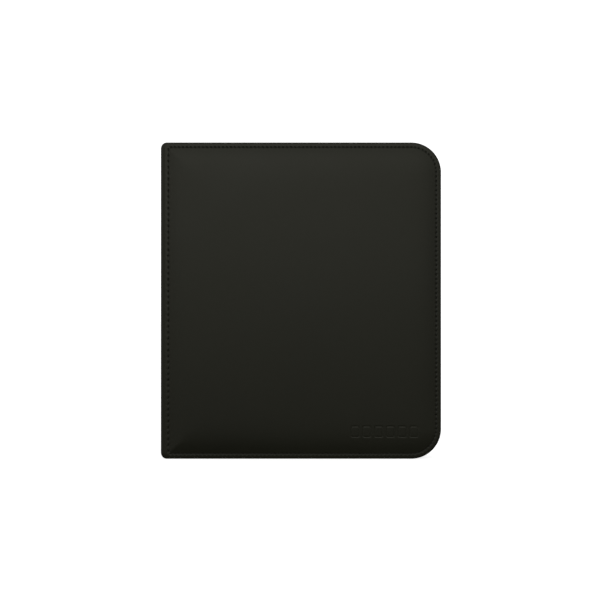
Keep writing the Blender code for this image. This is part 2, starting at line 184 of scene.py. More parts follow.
def tubes(paths, ups, radius, sides):
    """Points and faces of round tubes along paths, each an array of (path, point, 3)."""
    along = unit(np.gradient(paths, axis=1))
    across = unit(np.cross(along, ups))
    over = np.cross(across, along)
    turn = np.linspace(0, 2 * math.pi, sides, endpoint=False)[:, None]
    spread = np.cos(turn) * across[:, :, None] + np.sin(turn) * over[:, :, None]
    points = paths[:, :, None] + np.asarray(radius)[..., None, None] * spread
    count, length = paths.shape[:2]
    one = grid_faces(length, sides)
    starts = np.arange(count)[:, None, None] * length * sides
    walls = (one[None] + starts).reshape(-1, 4)
    ends = np.arange(count * length * sides).reshape(count, length, sides)
    return points, [walls, ends[:, 0, ::-1], ends[:, -1]]


def outward(piece):
    """Turns a closed mesh's faces outwards."""
    bm = bmesh.new()
    bm.from_mesh(piece.data)
    bmesh.ops.recalc_face_normals(bm, faces=bm.faces)
    bm.to_mesh(piece.data)
    bm.free()
    return piece


def open_grid(rows, columns, start):
    """Quads of a grid whose rows aren't closed into rings."""
    index = start + np.arange(rows * columns).reshape(rows, columns)
    return np.stack([index[:-1, :-1], index[:-1, 1:], index[1:, 1:], index[1:, :-1]], axis=-1).reshape(-1, 4)


def upright(xz, y):
    """(x, y, z) points from (x, z) pairs, with one y for all or one for each."""
    return np.column_stack([xz[:, 0], np.broadcast_to(y, len(xz)), xz[:, 1]])


def line_length(points):
    return float(np.linalg.norm(np.diff(points, axis=0), axis=1).sum())


def rounded_section(half_a, half_b, turn, steps=4):
    """Points round a rectangle with rounded corners, about its middle."""
    loop = []
    for sign_a, sign_b, first in ((1, 1, 0), (-1, 1, 90), (-1, -1, 180), (1, -1, 270)):
        for i in range(steps + 1):
            angle = math.radians(first + 90 * i / steps)
            loop.append((sign_a * (half_a - turn) + turn * math.cos(angle),
                         sign_b * (half_b - turn) + turn * math.sin(angle)))
    return np.array(loop)


def settle(piece, slot, body, *nodes):
    """Gives a piece the body that carries it and hides the nodes it shows in place of; the slot argument is
    not used.
    """
    if nodes:
        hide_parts(*nodes)
    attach(piece, body)
    return piece


def smoothstep(t):
    t = np.clip(t, 0, 1)
    return t * t * (3 - 2 * t)


# --- materials ---
class Tree:
    """Short ways to add nodes to a node tree."""

    def __init__(self, tree):
        self.tree = tree

    def add(self, kind, sockets=None, **settings):
        node = self.tree.nodes.new(kind)
        for key, value in settings.items():
            setattr(node, key, value)
        for key, value in (sockets or {}).items():
            self.put(node.inputs[key], value)
        return node

    def put(self, socket, value):
        if isinstance(value, bpy.types.NodeSocket):
            self.tree.links.new(value, socket)
        else:
            socket.default_value = value

    def ramp(self, factor, *stops):
        """A colour ramp; each stop is a position and a grey or colour."""
        node = self.add("ShaderNodeValToRGB", {"Fac": factor})
        elements = node.color_ramp.elements
        while len(elements) < len(stops):
            elements.new(0.5)
        for element, (position, shade) in zip(elements, stops):
            element.position = position
            element.color = (*shade, 1) if hasattr(shade, "__len__") else (shade, shade, shade, 1)
        return node.outputs["Color"]


class Nodes(Tree):
    """A new Principled material's nodes."""

    def __init__(self, name):
        self.material = bpy.data.materials.new(name)
        self.material.use_nodes = True
        super().__init__(self.material.node_tree)
        self.shader = self.tree.nodes["Principled BSDF"]
        self.place = self.add("ShaderNodeTexCoord").outputs["Object"]

    def set(self, **sockets):
        for key, value in sockets.items():
            self.put(self.shader.inputs[key.replace("_", " ")], value)

    def noise(self, scale, detail=2.0, roughness=0.5, place=None):
        node = self.add(
            "ShaderNodeTexNoise",
            {"Vector": place or self.place, "Scale": scale, "Detail": detail, "Roughness": roughness},
        )
        return node.outputs["Fac"]

    def cells(self, scale, feature="F1"):
        node = self.add("ShaderNodeTexVoronoi", {"Vector": self.place, "Scale": scale}, feature=feature)
        return node.outputs["Distance"]

    def stretch(self, scale, turn=(0, 0, 0)):
        node = self.add("ShaderNodeMapping", {"Vector": self.place, "Scale": scale, "Rotation": turn})
        return node.outputs["Vector"]

    def math(self, operation, a, b):
        return self.add("ShaderNodeMath", {0: a, 1: b}, operation=operation).outputs[0]

    def bump(self, height, strength, distance, under=None):
        sockets = {"Height": height, "Strength": strength, "Distance": distance}
        if under:
            sockets["Normal"] = under
        return self.add("ShaderNodeBump", sockets).outputs["Normal"]


def scaled(colour, factor):
    return tuple(channel * factor for channel in colour)


def leatherette():
    """Smooth matt black leatherette: fine pebbled grain, faint pores and slow changes of sheen."""
    black = (0.0105, 0.0108, 0.0048)
    n = Nodes("black leatherette")
    cloud = n.noise(9, 3)
    pebbles = n.cells(1150, "SMOOTH_F1")
    pores = n.noise(2600, 2, 0.6)
    n.set(
        Base_Color=n.ramp(n.math("ADD", n.math("MULTIPLY", cloud, 0.8), n.math("MULTIPLY", pebbles, 0.3)),
                          (0.25, scaled(black, 0.82)), (0.8, scaled(black, 1.2))),
        Roughness=n.ramp(n.math("ADD", n.math("MULTIPLY", cloud, 0.6), n.math("MULTIPLY", pores, 0.4)),
                         (0.3, 0.34), (0.7, 0.42)),
        Normal=n.bump(pores, 0.15, 0.00004, n.bump(pebbles, 0.42, 0.00008)),
    )
    n.set(Specular_IOR_Level=0.42, Specular_Tint=(1.0, 1.0, 0.87, 1.0))
    return n.material


def thread():
    """Black polyester thread, two-ply."""
    n = Nodes("black thread")
    plies = n.noise(1800, 2, place=n.stretch((1, 0.5, 1), (0, 0.6, 0)))
    n.set(
        Base_Color=n.ramp(plies, (0.3, (0.017, 0.0175, 0.012)), (0.7, (0.030, 0.031, 0.023))),
        Roughness=0.5,
        Normal=n.bump(plies, 0.5, 0.00008),
    )
    return n.material


def woven(name, colour, period, roughness, depth):
    """Cloth woven of threads this far apart, with a slight sheen."""
    n = Nodes(name)
    threads = []
    for turn, bands in ((0, "X"), (math.pi / 4, "Z")):
        sockets = {"Vector": n.stretch((1, 1, 1), (0, math.pi / 4, turn)), "Scale": WAVE_PERIOD / period,
                   "Distortion": 0.6, "Detail": 1.0}
        threads.append(n.add("ShaderNodeTexWave", sockets, bands_direction=bands).outputs["Fac"])
    weave = n.math("MAXIMUM", *threads)
    fuzz = n.noise(700, 3)
    tone = n.math("ADD", n.math("MULTIPLY", weave, 0.6), n.math("MULTIPLY", fuzz, 0.4))
    n.set(
        Base_Color=n.ramp(tone, (0.3, scaled(colour, 0.6)), (0.9, scaled(colour, 1.35))),
        Roughness=n.ramp(fuzz, (0.3, roughness - 0.06), (0.7, roughness + 0.06)),
        Normal=n.bump(weave, 0.6, depth),
        Sheen_Weight=0.15,
        Sheen_Roughness=0.6,
    )
    return n.material


def lining_cloth():
    return woven("black lining", (0.016, 0.016, 0.0155), 0.00055, 0.82, 0.00010)


def tape_cloth():
    return woven("black zipper tape", (0.014, 0.014, 0.0135), 0.00075, 0.76, 0.00016)


def coil_nylon():
    n = Nodes("black nylon")
    drawn = n.noise(500, 2)
    n.set(
        Base_Color=n.ramp(drawn, (0.3, (0.010, 0.010, 0.0095)), (0.7, (0.022, 0.022, 0.021))),
        Roughness=n.ramp(drawn, (0.3, 0.30), (0.7, 0.42)),
        Normal=n.bump(drawn, 0.15, 0.00005),
    )
    return n.material


def black_nickel():
    """Dark plated metal with fine scuffs."""
    n = Nodes("black nickel")
    cloud = n.noise(260, 3)
    scuffs = n.noise(1500, 3, 0.7, n.stretch((0.15, 1, 1)))
    n.set(
        Base_Color=n.ramp(cloud, (0.3, (0.13, 0.13, 0.134)), (0.7, (0.21, 0.21, 0.21))),
        Metallic=1.0,
        Roughness=n.ramp(scuffs, (0.35, 0.24), (0.7, 0.42)),
        Normal=n.bump(scuffs, 0.12, 0.00003),
    )
    return n.material


def greyboard():
    """Recycled board with short dark and light fibres."""
    n = Nodes("greyboard")
    fibres = n.noise(420, 4, 0.7, n.stretch((1, 1, 0.3)))
    n.set(
        Base_Color=n.ramp(fibres, (0.25, (0.15, 0.14, 0.12)), (0.5, (0.25, 0.23, 0.20)),
                          (0.8, (0.34, 0.32, 0.28))),
        Roughness=0.9,
        Normal=n.bump(fibres, 0.4, 0.0001),
    )
    return n.material


def foam():
    """Open-celled grey foam."""
    n = Nodes("grey foam")
    pores = n.cells(900)
    n.set(
        Base_Color=n.ramp(pores, (0.1, 0.10), (0.6, 0.21)),
        Roughness=0.95,
        Normal=n.bump(pores, 0.7, 0.0002),
    )
    return n.material


def page_core():
    """Black polypropylene sheet with a fine embossed grain."""
    n = Nodes("black polypropylene")
    emboss = n.cells(1700, "SMOOTH_F1")
    cloud = n.noise(14, 2)
    n.set(
        Base_Color=n.ramp(cloud, (0.3, (0.010, 0.010, 0.011)), (0.7, (0.015, 0.015, 0.016))),
        Roughness=n.ramp(cloud, (0.3, 0.42), (0.7, 0.50)),
        Normal=n.bump(emboss, 0.25, 0.00006),
    )
    return n.material


def clear_film():
    """Clear polypropylene film: almost all see-through, with a soft gloss and slight ripples."""
    n = Nodes("clear film")
    ripple = n.noise(38, 2, 0.5, n.stretch((1, 1, 0.35)))
    n.set(
        Base_Color=n.ramp(ripple, (0.3, (0.80, 0.81, 0.83)), (0.7, (0.90, 0.91, 0.92))),
        Roughness=n.ramp(ripple, (0.3, 0.10), (0.7, 0.18)),
        Normal=n.bump(ripple, 0.25, 0.0008),
        Alpha=0.16,
    )
    return n.material


def welded_film():
    """Where the film is welded to the sheet: pressed clear, with the weld's fine ribs across it."""
    n = Nodes("welded film")
    ribs = n.add("ShaderNodeTexWave", {"Vector": n.place, "Scale": 260.0}, bands_direction="Z").outputs["Fac"]
    n.set(
        Base_Color=n.ramp(ribs, (0.2, (0.30, 0.305, 0.31)), (0.8, (0.44, 0.445, 0.45))),
        Roughness=n.ramp(ribs, (0.3, 0.22), (0.7, 0.34)),
        Normal=n.bump(ribs, 0.4, 0.0001),
        Alpha=0.34,
    )
    return n.material


def carried_nodes():
    """Procedural materials on the CAD nodes that still show: the boards and the page sheets."""
    board, page = greyboard(), page_core()
    for name, node in NODES.items():
        if node.hide_render:
            continue
        made_of = board if name.endswith("_board") else page
        node.data.materials.clear()
        node.data.materials.append(made_of)


# --- the cover's skin ---
def open_profile(u):
    """(inset, depth, tilt) of the skin on the three open sides, this far out from the stitch line."""
    flat = STITCH_INSET - EDGE_ROUND
    depth = WELT_DEPTH + WELT_DROOP * min(u / flat, 1) ** 2
    if u <= flat:
        return STITCH_INSET - u, depth, 0.0
    tilt = min((u - flat) / EDGE_ROUND, math.pi / 2)
    wall = max(u - flat - EDGE_ROUND * math.pi / 2, 0.0)
    return EDGE_ROUND * (1 - math.sin(tilt)), depth + EDGE_ROUND * (1 - math.cos(tilt)) + wall, tilt


def spine_profile(u):
    """The same on the spine's side, where the skin bends round the shoulder to the spine."""
    flat = STITCH_INSET_SPINE - SHOULDER
    if u <= flat:
        return STITCH_INSET_SPINE - u, WELT_DEPTH, 0.0
    tilt = (u - flat) / (SPINE_REACH - flat) * math.pi / 2
    return SHOULDER * (1 - math.sin(tilt)), WELT_DEPTH + (SHOULDER - WELT_DEPTH) * (1 - math.cos(tilt)), tilt


def segments(open_inset, spine_inset, corner):
    """The eight stretches of a ring, clockwise from the top's left end: lines and corner arcs."""
    left, right = X_LEFT + spine_inset, X_RIGHT - open_inset
    low, high = open_inset, HEIGHT - open_inset
    turn = CORNER_RADIUS - open_inset
    return (
        ("line", (left + corner, high), (right - turn, high)),
        ("arc", (right - turn, high - turn, turn), (90, 0)),
        ("line", (right, high - turn), (right, low + turn)),
        ("arc", (right - turn, low + turn, turn), (0, -90)),
        ("line", (right - turn, low), (left + corner, low)),
        ("arc", (left + corner, low + corner, corner), (-90, -180)),
        ("line", (left, low + corner), (left, high - corner)),
        ("arc", (left + corner, high - corner, corner), (180, 90)),
    )


def ring_points(pieces, counts):
    """(x, z) along a ring of segments, with this many points on each, ends left out."""
    made = []
    for (kind, first, second), count in zip(pieces, counts):
        t = np.arange(count)[:, None] / count
        if kind == "line":
            made.append(np.array(first) * (1 - t) + np.array(second) * t)
        else:
            angle = np.radians(second[0] + (second[1] - second[0]) * t)
            made.append(np.hstack([first[0] + first[2] * np.cos(angle), first[1] + first[2] * np.sin(angle)]))
    return np.vstack(made)


def stitch_counts():
    """Whole stitches on each of the stitch line's segments."""
    pitches = ("end", "end", "side", "end", "end", "end", "spine", "end")
    counts = []
    line = segments(STITCH_INSET, STITCH_INSET_SPINE, STITCH_CORNER)
    for (kind, first, second), pitch in zip(line, pitches):
        length = math.dist(first, second) if kind == "line" else first[2] * math.pi / 2
        counts.append(max(round(length / STITCH_PITCH[pitch]), 1))
    return counts


STITCHES = stitch_counts()
SAMPLES = [count * STITCH_SAMPLES for count in STITCHES]


def spine_share():
    """How far each of a ring's points follows the spine's profile: 0 on the open sides, 1 at the spine."""
    share = [np.zeros(count) for count in SAMPLES]
    share[5] = smoothstep(np.arange(SAMPLES[5]) / SAMPLES[5])
    share[6] = np.ones(SAMPLES[6])
    share[7] = 1 - smoothstep(np.arange(SAMPLES[7]) / SAMPLES[7])
    return np.concatenate(share)


def crown(x, z):
    """The cover's slow rise towards its middle."""
    across = (2 * x - X_LEFT - X_RIGHT) / (X_RIGHT - X_LEFT)
    along = 2 * z / HEIGHT - 1
    return CROWN * np.clip(1 - across**2, 0, 1) * np.clip(1 - along**2, 0, 1)


def pad_height(u):
    return PAD_RISE * (1 - np.exp(-np.maximum(u, 0) / PAD_RUN)) ** 1.3


def skin_ring(u, inward=0.0):
    """One ring of the skin's points as (x, depth, z): u inside the stitch line, or part of the way out."""
    share = spine_share()
    if u <= 0:
        near = max(u, RINGS_NEAR[0])
        part = (near - u) if u < near else 0.0
        reach_open = -near + part * (OPEN_REACH + near)
        reach_spine = -near + part * (SPINE_REACH + near)
        open_side, spine_side = open_profile(reach_open), spine_profile(reach_spine)
        corner = STITCH_CORNER + (SHOULDER - STITCH_CORNER) * min(reach_open / OPEN_REACH, 1)
    else:
        open_side = (STITCH_INSET + u, WELT_DEPTH, 0.0)
        spine_side = (STITCH_INSET_SPINE + u, WELT_DEPTH, 0.0)
        corner = max(STITCH_CORNER - u * 0.4, 0.0015)
    insets, depths = [], []
    for inset, depth, tilt in (open_side, spine_side):
        insets.append(inset + inward * math.sin(tilt))
        depths.append(depth + inward * math.cos(tilt))
    xz = ring_points(segments(insets[0], insets[1], corner), SAMPLES)
    depth = depths[0] * (1 - share) + depths[1] * share
    if u > 0:
        depth = depth - pad_height(u) - crown(*xz.T)
    return upright(xz, depth)


def outward_part(part):
    """Marks a ring that lies this part of the way from the near rings to the lip."""
    return RINGS_NEAR[0] - part


def groove(u):
    """How deep the thread has pulled the skin in, along a ring: deepest at the needle's holes."""
    phase = np.arange(sum(SAMPLES)) % STITCH_SAMPLES / STITCH_SAMPLES
    hole = (0.5 + 0.5 * np.cos(2 * math.pi * phase)) ** 3
    return (GROOVE_DEPTH + HOLE_DEPTH * hole) * math.exp(-((u / GROOVE_WIDTH) ** 2))


def inside_stitches(x, z):
    """Distance inwards from the stitch line, for points well inside it."""
    left, right = X_LEFT + STITCH_INSET_SPINE, X_RIGHT - STITCH_INSET
    low, high = STITCH_INSET, HEIGHT - STITCH_INSET
    turn = CORNER_RADIUS - STITCH_INSET
    over_x = np.maximum(x - (right - turn), 0)
    over_z = np.maximum(np.maximum(z - (high - turn), (low + turn) - z), 0)
    rounded = turn - np.hypot(over_x, over_z)
    straight = np.minimum(np.minimum(right - x, x - left), np.minimum(z - low, high - z))
    return np.where((over_x > 0) & (over_z > 0), rounded, straight)


# --- the motif pressed into the front cover ---
def motif(x, z):
    """Depth of the pressed outlines of a row of blank cards."""
    first = MOTIF_X - CARD_PITCH * (CARD_COUNT - 1) / 2
    nearest = np.clip(np.round((x - first) / CARD_PITCH), 0, CARD_COUNT - 1)
    a = np.abs(x - first - nearest * CARD_PITCH) - (CARD_WIDTH / 2 - CARD_CORNER)
    b = np.abs(z - MOTIF_Z) - (CARD_HEIGHT / 2 - CARD_CORNER)
    outside = np.hypot(np.maximum(a, 0), np.maximum(b, 0)) + np.minimum(np.maximum(a, b), 0) - CARD_CORNER
    return MOTIF_DEPTH * np.exp(-((outside / MOTIF_LINE) ** 2))


def motif_window():
    """(low x, high x, low z, high z) of the pressed row, with a margin."""
    half_x = (CARD_PITCH * (CARD_COUNT - 1) + CARD_WIDTH) / 2 + MOTIF_MARGIN
    half_z = CARD_HEIGHT / 2 + MOTIF_MARGIN
    return MOTIF_X - half_x, MOTIF_X + half_x, MOTIF_Z - half_z, MOTIF_Z + half_z


def fill(boundary, spacing, margin, window=None):
    """Triangles across a ring of (x, z) points, over a grid of points; returns the grid points kept and the
    triangles, whose indices count the ring's points first.
    """
    low, high = boundary.min(axis=0), boundary.max(axis=0)
    steps = np.maximum(np.round((high - low) / spacing).astype(int), 2)
    xs, zs = (np.linspace(low[i], high[i], steps[i] + 1)[1:-1] for i in (0, 1))
    inner = np.array([(x, z) for x in xs for z in zs])
    inner = inner[inside_stitches(*inner.T) > margin]
    if window:
        x0, x1, z0, z1 = window
        inside = (inner[:, 0] > x0) & (inner[:, 0] < x1) & (inner[:, 1] > z0) & (inner[:, 1] < z1)
        fine = np.array(
            [(x, z) for x in np.arange(x0, x1, MOTIF_GRID) for z in np.arange(z0, z1, MOTIF_GRID)]
        )
        inner = np.vstack([inner[~inside], fine])
    points = np.vstack([boundary, inner])
    found = geometry.delaunay_2d_cdt(
        [Vector(p) for p in points], [], [list(range(len(boundary)))], 1, 1e-7
    )
    back = {i: sources[0] for i, sources in enumerate(found[3]) if sources}
    triangles = [[back[i] for i in face] for face in found[2]]
    return inner, np.array(triangles)


def padded_skin(which, side, made_of):
    """One cover's leatherette with its shoulder, sewn down all round and padded inside the stitches."""
    outer_us = [outward_part(p) for p in RINGS_OUT] + list(RINGS_NEAR) + list(RINGS_IN)
    inner_us = [outward_part(p) for p in (1.0, 0.66, 0.41, 0.2)] + [RINGS_NEAR[0], RINGS_IN[1], RINGS_IN[-1]]
    outer = [skin_ring(u) for u in outer_us]
    for u, ring in zip(outer_us, outer):
        if u > outward_part(0.3):
            ring[:, 1] += groove(u)
    inner = [skin_ring(u, SKIN) for u in inner_us]
    rings = np.array(inner[::-1] + outer)
    count, columns = rings.shape[:2]
    faces = [grid_faces(count, columns)]
    points = [rings.reshape(-1, 3)]
    used = count * columns
    window = motif_window() if which == "front" else None
    for ring_index, inward, fine in ((count - 1, 0.0, window), (0, SKIN, None)):
        edge = rings[ring_index][:, [0, 2]]
        found, triangles = fill(edge, GRID, RINGS_IN[-1] + 0.003, fine)
        depth = WELT_DEPTH + inward - pad_height(inside_stitches(*found.T)) - crown(*found.T)
        if fine:
            depth += motif(*found.T)
        points.append(upright(found, depth))
        on_edge = triangles < columns
        faces.append(np.where(on_edge, triangles + ring_index * columns, triangles - columns + used))
        used += len(found)
    points = np.vstack(points)
    points[:, 1] = side * (HALF - points[:, 1])
    piece = outward(mesh_piece(f"{which}_cover_skin_padded", points, faces, made_of))
    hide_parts(f"{which}_cover_skin", f"{which}_hinge_skin")
    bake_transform(piece)


def thread_stitches(name, holes, out, made_of, body, closed=False):
    """Thread from each needle hole to the next, standing a little proud of the surface between them."""
    following = np.roll(holes, -1, axis=0)
    starts, ends = (holes, following) if closed else (holes[:-1], following[:-1])
    t = np.array([0.0, 0.10, 0.28, 0.5, 0.72, 0.90, 1.0])[None, :, None]
    sunk = np.array([0.75, 0.30, 0.02, -0.06, 0.02, 0.30, 0.75])[None, :, None] * 0.001
    direction = np.broadcast_to(np.asarray(out, float), starts.shape)[:, None]
    paths = starts[:, None] * (1 - t) + ends[:, None] * t - sunk * direction
    ups = np.broadcast_to(direction, paths.shape)
    points, faces = tubes(paths, ups, np.full(paths.shape[:2], THREAD_RADIUS), 6)
    settle(outward(mesh_piece(name, points, faces, made_of)), "leatherette", body)


def cover_stitches(which, side, made_of):
    line = skin_ring(0.0)
    line[:, 1] = side * (HALF - line[:, 1] - GROOVE_DEPTH * 0.6)
    holes = line[::STITCH_SAMPLES]
    thread_stitches(f"{which}_cover_stitches", holes, (0, side, 0), made_of, f"{which}_cover", closed=True)


def foam_pad(which, side, made_of):
    """The padding between the skin and the board, thinned out towards the stitches."""
    us = (0.0015, 0.003, 0.005, 0.008, RINGS_IN[-1])
    rings = np.array([skin_ring(u, SKIN)[::STITCH_SAMPLES] for u in us])
    rings[:, :, 1] += CLEARANCE
    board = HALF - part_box("back_cover_board")[1].y
    base = rings[0].copy()
    base[:, 1] = board - CLEARANCE
    rings = np.concatenate([base[None], rings])
    count, columns = rings.shape[:2]
    found, triangles = fill(rings[-1][:, [0, 2]], GRID * 2, RINGS_IN[-1] + 0.005)
    depth = WELT_DEPTH + SKIN + CLEARANCE - pad_height(inside_stitches(*found.T)) - crown(*found.T)
    points = np.vstack([rings.reshape(-1, 3), upright(found, depth)])
    points[:, 1] = side * (HALF - points[:, 1])
    triangles = triangles + (count - 1) * columns
    piece = outward(mesh_piece(f"{which}_cover_padding", points,
                               [grid_faces(count, columns), triangles, [list(range(columns))]], made_of))
    settle(piece, "foam", f"{which}_cover", f"{which}_cover_foam")


# --- linings ---
def slab(name, levels, made_of):
    """A closed flat piece from loops of points, one for each level, with a flat face at each end."""
    levels = np.array(levels)
    count, columns = levels.shape[:2]
    caps = [[list(range(columns))], [list(range((count - 1) * columns, count * columns))]]
    return outward(mesh_piece(name, levels, [grid_faces(count, columns), *caps], made_of))


def cover_lining(which, side, made_of):
    """The cloth glued inside a cover, with soft edges."""
    low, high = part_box(f"{which}_cover_lining")
    spine_inset, open_inset = low.x - X_LEFT, low.z
    near, far = sorted((abs(low.y), abs(high.y)))
    counts = (60, 16, 60, 16, 60, 3, 60, 3)
    edge = ((0.0002, far), (0.0, far - 0.00015), (0.0, near + 0.00015), (0.00015, near + 0.00003),
            (0.0004, near))
    levels = []
    for extra, y in edge:
        xz = ring_points(segments(open_inset + extra, spine_inset + extra, 0.0010), counts)
        levels.append(upright(xz, side * y))
    piece = slab(f"{which}_cover_lining_cloth", levels, made_of)
    settle(piece, "lining", f"{which}_cover", f"{which}_cover_lining")


def spine_cloth(node, made_of):
    """A strip of cloth glued down the spine, with soft edges."""
    low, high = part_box(node)
    levels = []
    for inset, x in ((0.0002, low.x), (0, low.x + 0.00015), (0, high.x - 0.00015), (0.0003, high.x)):
        levels.append([
            (x, low.y + inset, low.z + inset), (x, high.y - inset, low.z + inset),
            (x, high.y - inset, high.z - inset), (x, low.y + inset, high.z - inset),
        ])
    piece = slab(f"{node}_cloth", levels, made_of)
    settle(piece, "lining", "spine", node)


def hinge_lining(which, side, made_of):
    """The slack fold of lining inside a shoulder."""
    centre_x, centre_y = X_LEFT + SHOULDER, SPINE_HALF
    reach = SHOULDER - SKIN - 0.0007
    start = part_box(f"{which}_cover_lining")[0].x - CLEARANCE
    spine_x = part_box("spine_lining")[1].x
    plan = [(start, INNER_FACE + 0.0004), (start - 0.0001, INNER_FACE + 0.0014)]
    for i in range(9):
        angle = math.radians(100 + 72 * i / 8)
        plan.append((centre_x + reach * math.cos(angle), centre_y + reach * math.sin(angle) * 0.72))
    plan.append((spine_x - 0.0004, SPINE_HALF - 0.0001))
    plan = np.array(plan)
    tangent = unit(np.gradient(plan, axis=0))
    normal = np.column_stack([-tangent[:, 1], tangent[:, 0]]) * HINGE_LINING / 2
    outline = np.vstack([plan + normal, (plan - normal)[::-1]])
    low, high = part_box("spine_lining")[0].z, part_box("spine_lining")[1].z
    heights = np.linspace(low, high, 40)
    outline[:, 1] *= side
    loops = [np.column_stack([outline, np.full(len(outline), z)]) for z in heights]
    piece = slab(f"{which}_hinge_lining", loops, made_of)
    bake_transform(piece)


def spine_skin(made_of):
    """The leatherette over the spine's board, with turned edges."""
    low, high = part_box("spine_skin")
    turn, middle_z, half_z = 0.0022, (low.z + high.z) / 2, (high.z - low.z) / 2
    edge = ((0, high.x), (0, low.x + 0.0005), (0.00012, low.x + 0.00022), (0.0004, low.x + 0.00006),
            (0.0010, low.x))
    levels = []
    for inset, x in edge:
        loop = rounded_section(high.y - inset, half_z - inset, turn - inset, 6)
        levels.append(np.column_stack([np.full(len(loop), x), loop[:, 0], middle_z + loop[:, 1]]))
    settle(slab("spine_skin_turned", levels, made_of), "leatherette", "spine", "spine_skin")


def spine_stitches(made_of):
    low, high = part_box("spine_skin")
    for name, z in (("lower", low.z + 0.0035), ("upper", high.z - 0.0035)):
        reach = high.y - 0.0015
        count = round(2 * reach / STITCH_PITCH["end"])
        holes = np.array([(low.x, -reach + 2 * reach * i / count, z) for i in range(count + 1)])
        thread_stitches(f"spine_{name}_stitches", holes, (-1, 0, 0), made_of, "spine")


# --- zipper ---
def zip_route(start_top, start_bottom, spacing):
    """Points (x, z) on the covers' edge and their outward normals, from the top round to the bottom."""

    def run(x, z, normal_x, normal_z):
        return np.column_stack(np.broadcast_arrays(x, z, normal_x, normal_z))

    def steps(length):
        return max(round(length / spacing), 2)

    r = CORNER_RADIUS
    centre_x = X_RIGHT - r
    bend = np.linspace(0, 1, round(r * math.pi / 2 / spacing) + 4)
    corners = []
    for centre_z, first in ((HEIGHT - r, 90), (r, 0)):
        a = np.radians(first - 90 * bend)
        corners.append(run(centre_x + r * np.cos(a), centre_z + r * np.sin(a), np.cos(a), np.sin(a)))
    top = np.linspace(start_top, centre_x, steps(centre_x - start_top), endpoint=False)
    side = np.linspace(HEIGHT - r, r, steps(HEIGHT - 2 * r) + 1)[1:-1]
    bottom = np.linspace(centre_x, start_bottom, steps(centre_x - start_bottom) + 1)[1:]
    route = np.vstack([run(top, HEIGHT, 0.0, 1.0), corners[0], run(X_RIGHT, side, 1.0, 0.0), corners[1],
                       run(bottom, 0.0, 0.0, -1.0)])
    return route[:, :2], route[:, 2:]


def lean(places):
    """How far the undone rows have come together at each place (x, z): not at all where the slider runs."""
    return ROWS_TOGETHER * smoothstep((HEIGHT - places[:, 1] - ZIP_INSET - 0.004) / CORNER_RADIUS)


def tape_section(hem_inset, hem_y, wall_end):
    """(inset, |y|) round the tape's section: the hem on the lining, the fold and the wall."""
    fold = 0.0013
    middle = [(hem_inset, hem_y), (hem_inset + 0.0012, hem_y), (ZIP_INSET - fold - 0.0008, hem_y)]
    for i in range(6):
        a = math.radians(90 - 90 * i / 5)
        middle.append((ZIP_INSET - fold + fold * math.cos(a), hem_y - fold + fold * math.sin(a)))
    middle += [(ZIP_INSET, y) for y in np.linspace(hem_y - fold - 0.001, wall_end, 8)]
    middle = np.array(middle)
    tangent = unit(np.gradient(middle, axis=0))
    normal = np.column_stack([-tangent[:, 1], tangent[:, 0]]) * TAPE / 2
    ends = [middle[-1] + tangent[-1] * TAPE / 3, middle[0] - tangent[0] * TAPE / 3]
    return middle, np.vstack([middle + normal, ends[0], (middle - normal)[::-1], ends[1]])


def zipper_tape(which, side, made_of, yarn):
    """The cloth tape sewn inside a cover's edge and folded out to carry its row of coils."""
    nodes = [f"zipper_tape_{which}_{run}" for run in ("top", "side", "bottom")]
    start_top, start_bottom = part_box(nodes[0])[0].x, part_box(nodes[2])[0].x
    hem_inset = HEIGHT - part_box(nodes[0])[1].z
    hem_y = max(abs(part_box(nodes[1])[0].y), abs(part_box(nodes[1])[1].y)) - TAPE / 2
    wall_end = ROW_OUTER - COIL_WIRE
    middle, section = tape_section(hem_inset, hem_y, wall_end)
    edge, normal = zip_route(start_top, start_bottom, 0.004)
    free = smoothstep((hem_y - section[:, 1] - 0.002) / 0.004)
    loops = []
    for i, (place, away, leaning) in enumerate(zip(edge, normal, lean(edge))):
        ripple = 0.00012 * math.sin(i * 1.3) * free
        xz = place - (section[:, :1] + ripple[:, None]) * away
        loops.append(upright(xz, side * (section[:, 1] - leaning * free)))
    piece = slab(f"zipper_tape_{which}_cloth", loops, made_of)
    settle(piece, "zipper_tape", f"{which}_cover", *nodes)
    inner_y = side * (hem_y - TAPE / 2)
    for row, inset in (("outer", hem_inset + 0.0010), ("inner", STITCH_INSET)):
        places, away = zip_route(start_top + 0.002, start_bottom + 0.002, STITCH_PITCH["end"])
        holes = upright(places - inset * away, inner_y)
        thread_stitches(f"zipper_tape_{which}_{row}_stitches", holes, (0, -side, 0), yarn, f"{which}_cover")


def helix(places, outs, across, turns, radii):
    """A coil's path round a line of places: outs and across are the two directions of its section."""
    travelled = np.concatenate([[0], np.cumsum(np.linalg.norm(np.diff(places, axis=0), axis=1))])
    t = np.linspace(0, travelled[-1], turns * COIL_STEPS)
    angle = np.linspace(0, 2 * math.pi * turns, turns * COIL_STEPS)
    centre = np.column_stack([np.interp(t, travelled, places[:, i]) for i in range(3)])
    out = unit(np.column_stack([np.interp(t, travelled, outs[:, i]) for i in range(3)]))
    spoke = radii[0] * np.cos(angle)[:, None] * out + radii[1] * np.sin(angle)[:, None] * np.array(across)
    return (centre + spoke)[None], unit(spoke)[None]


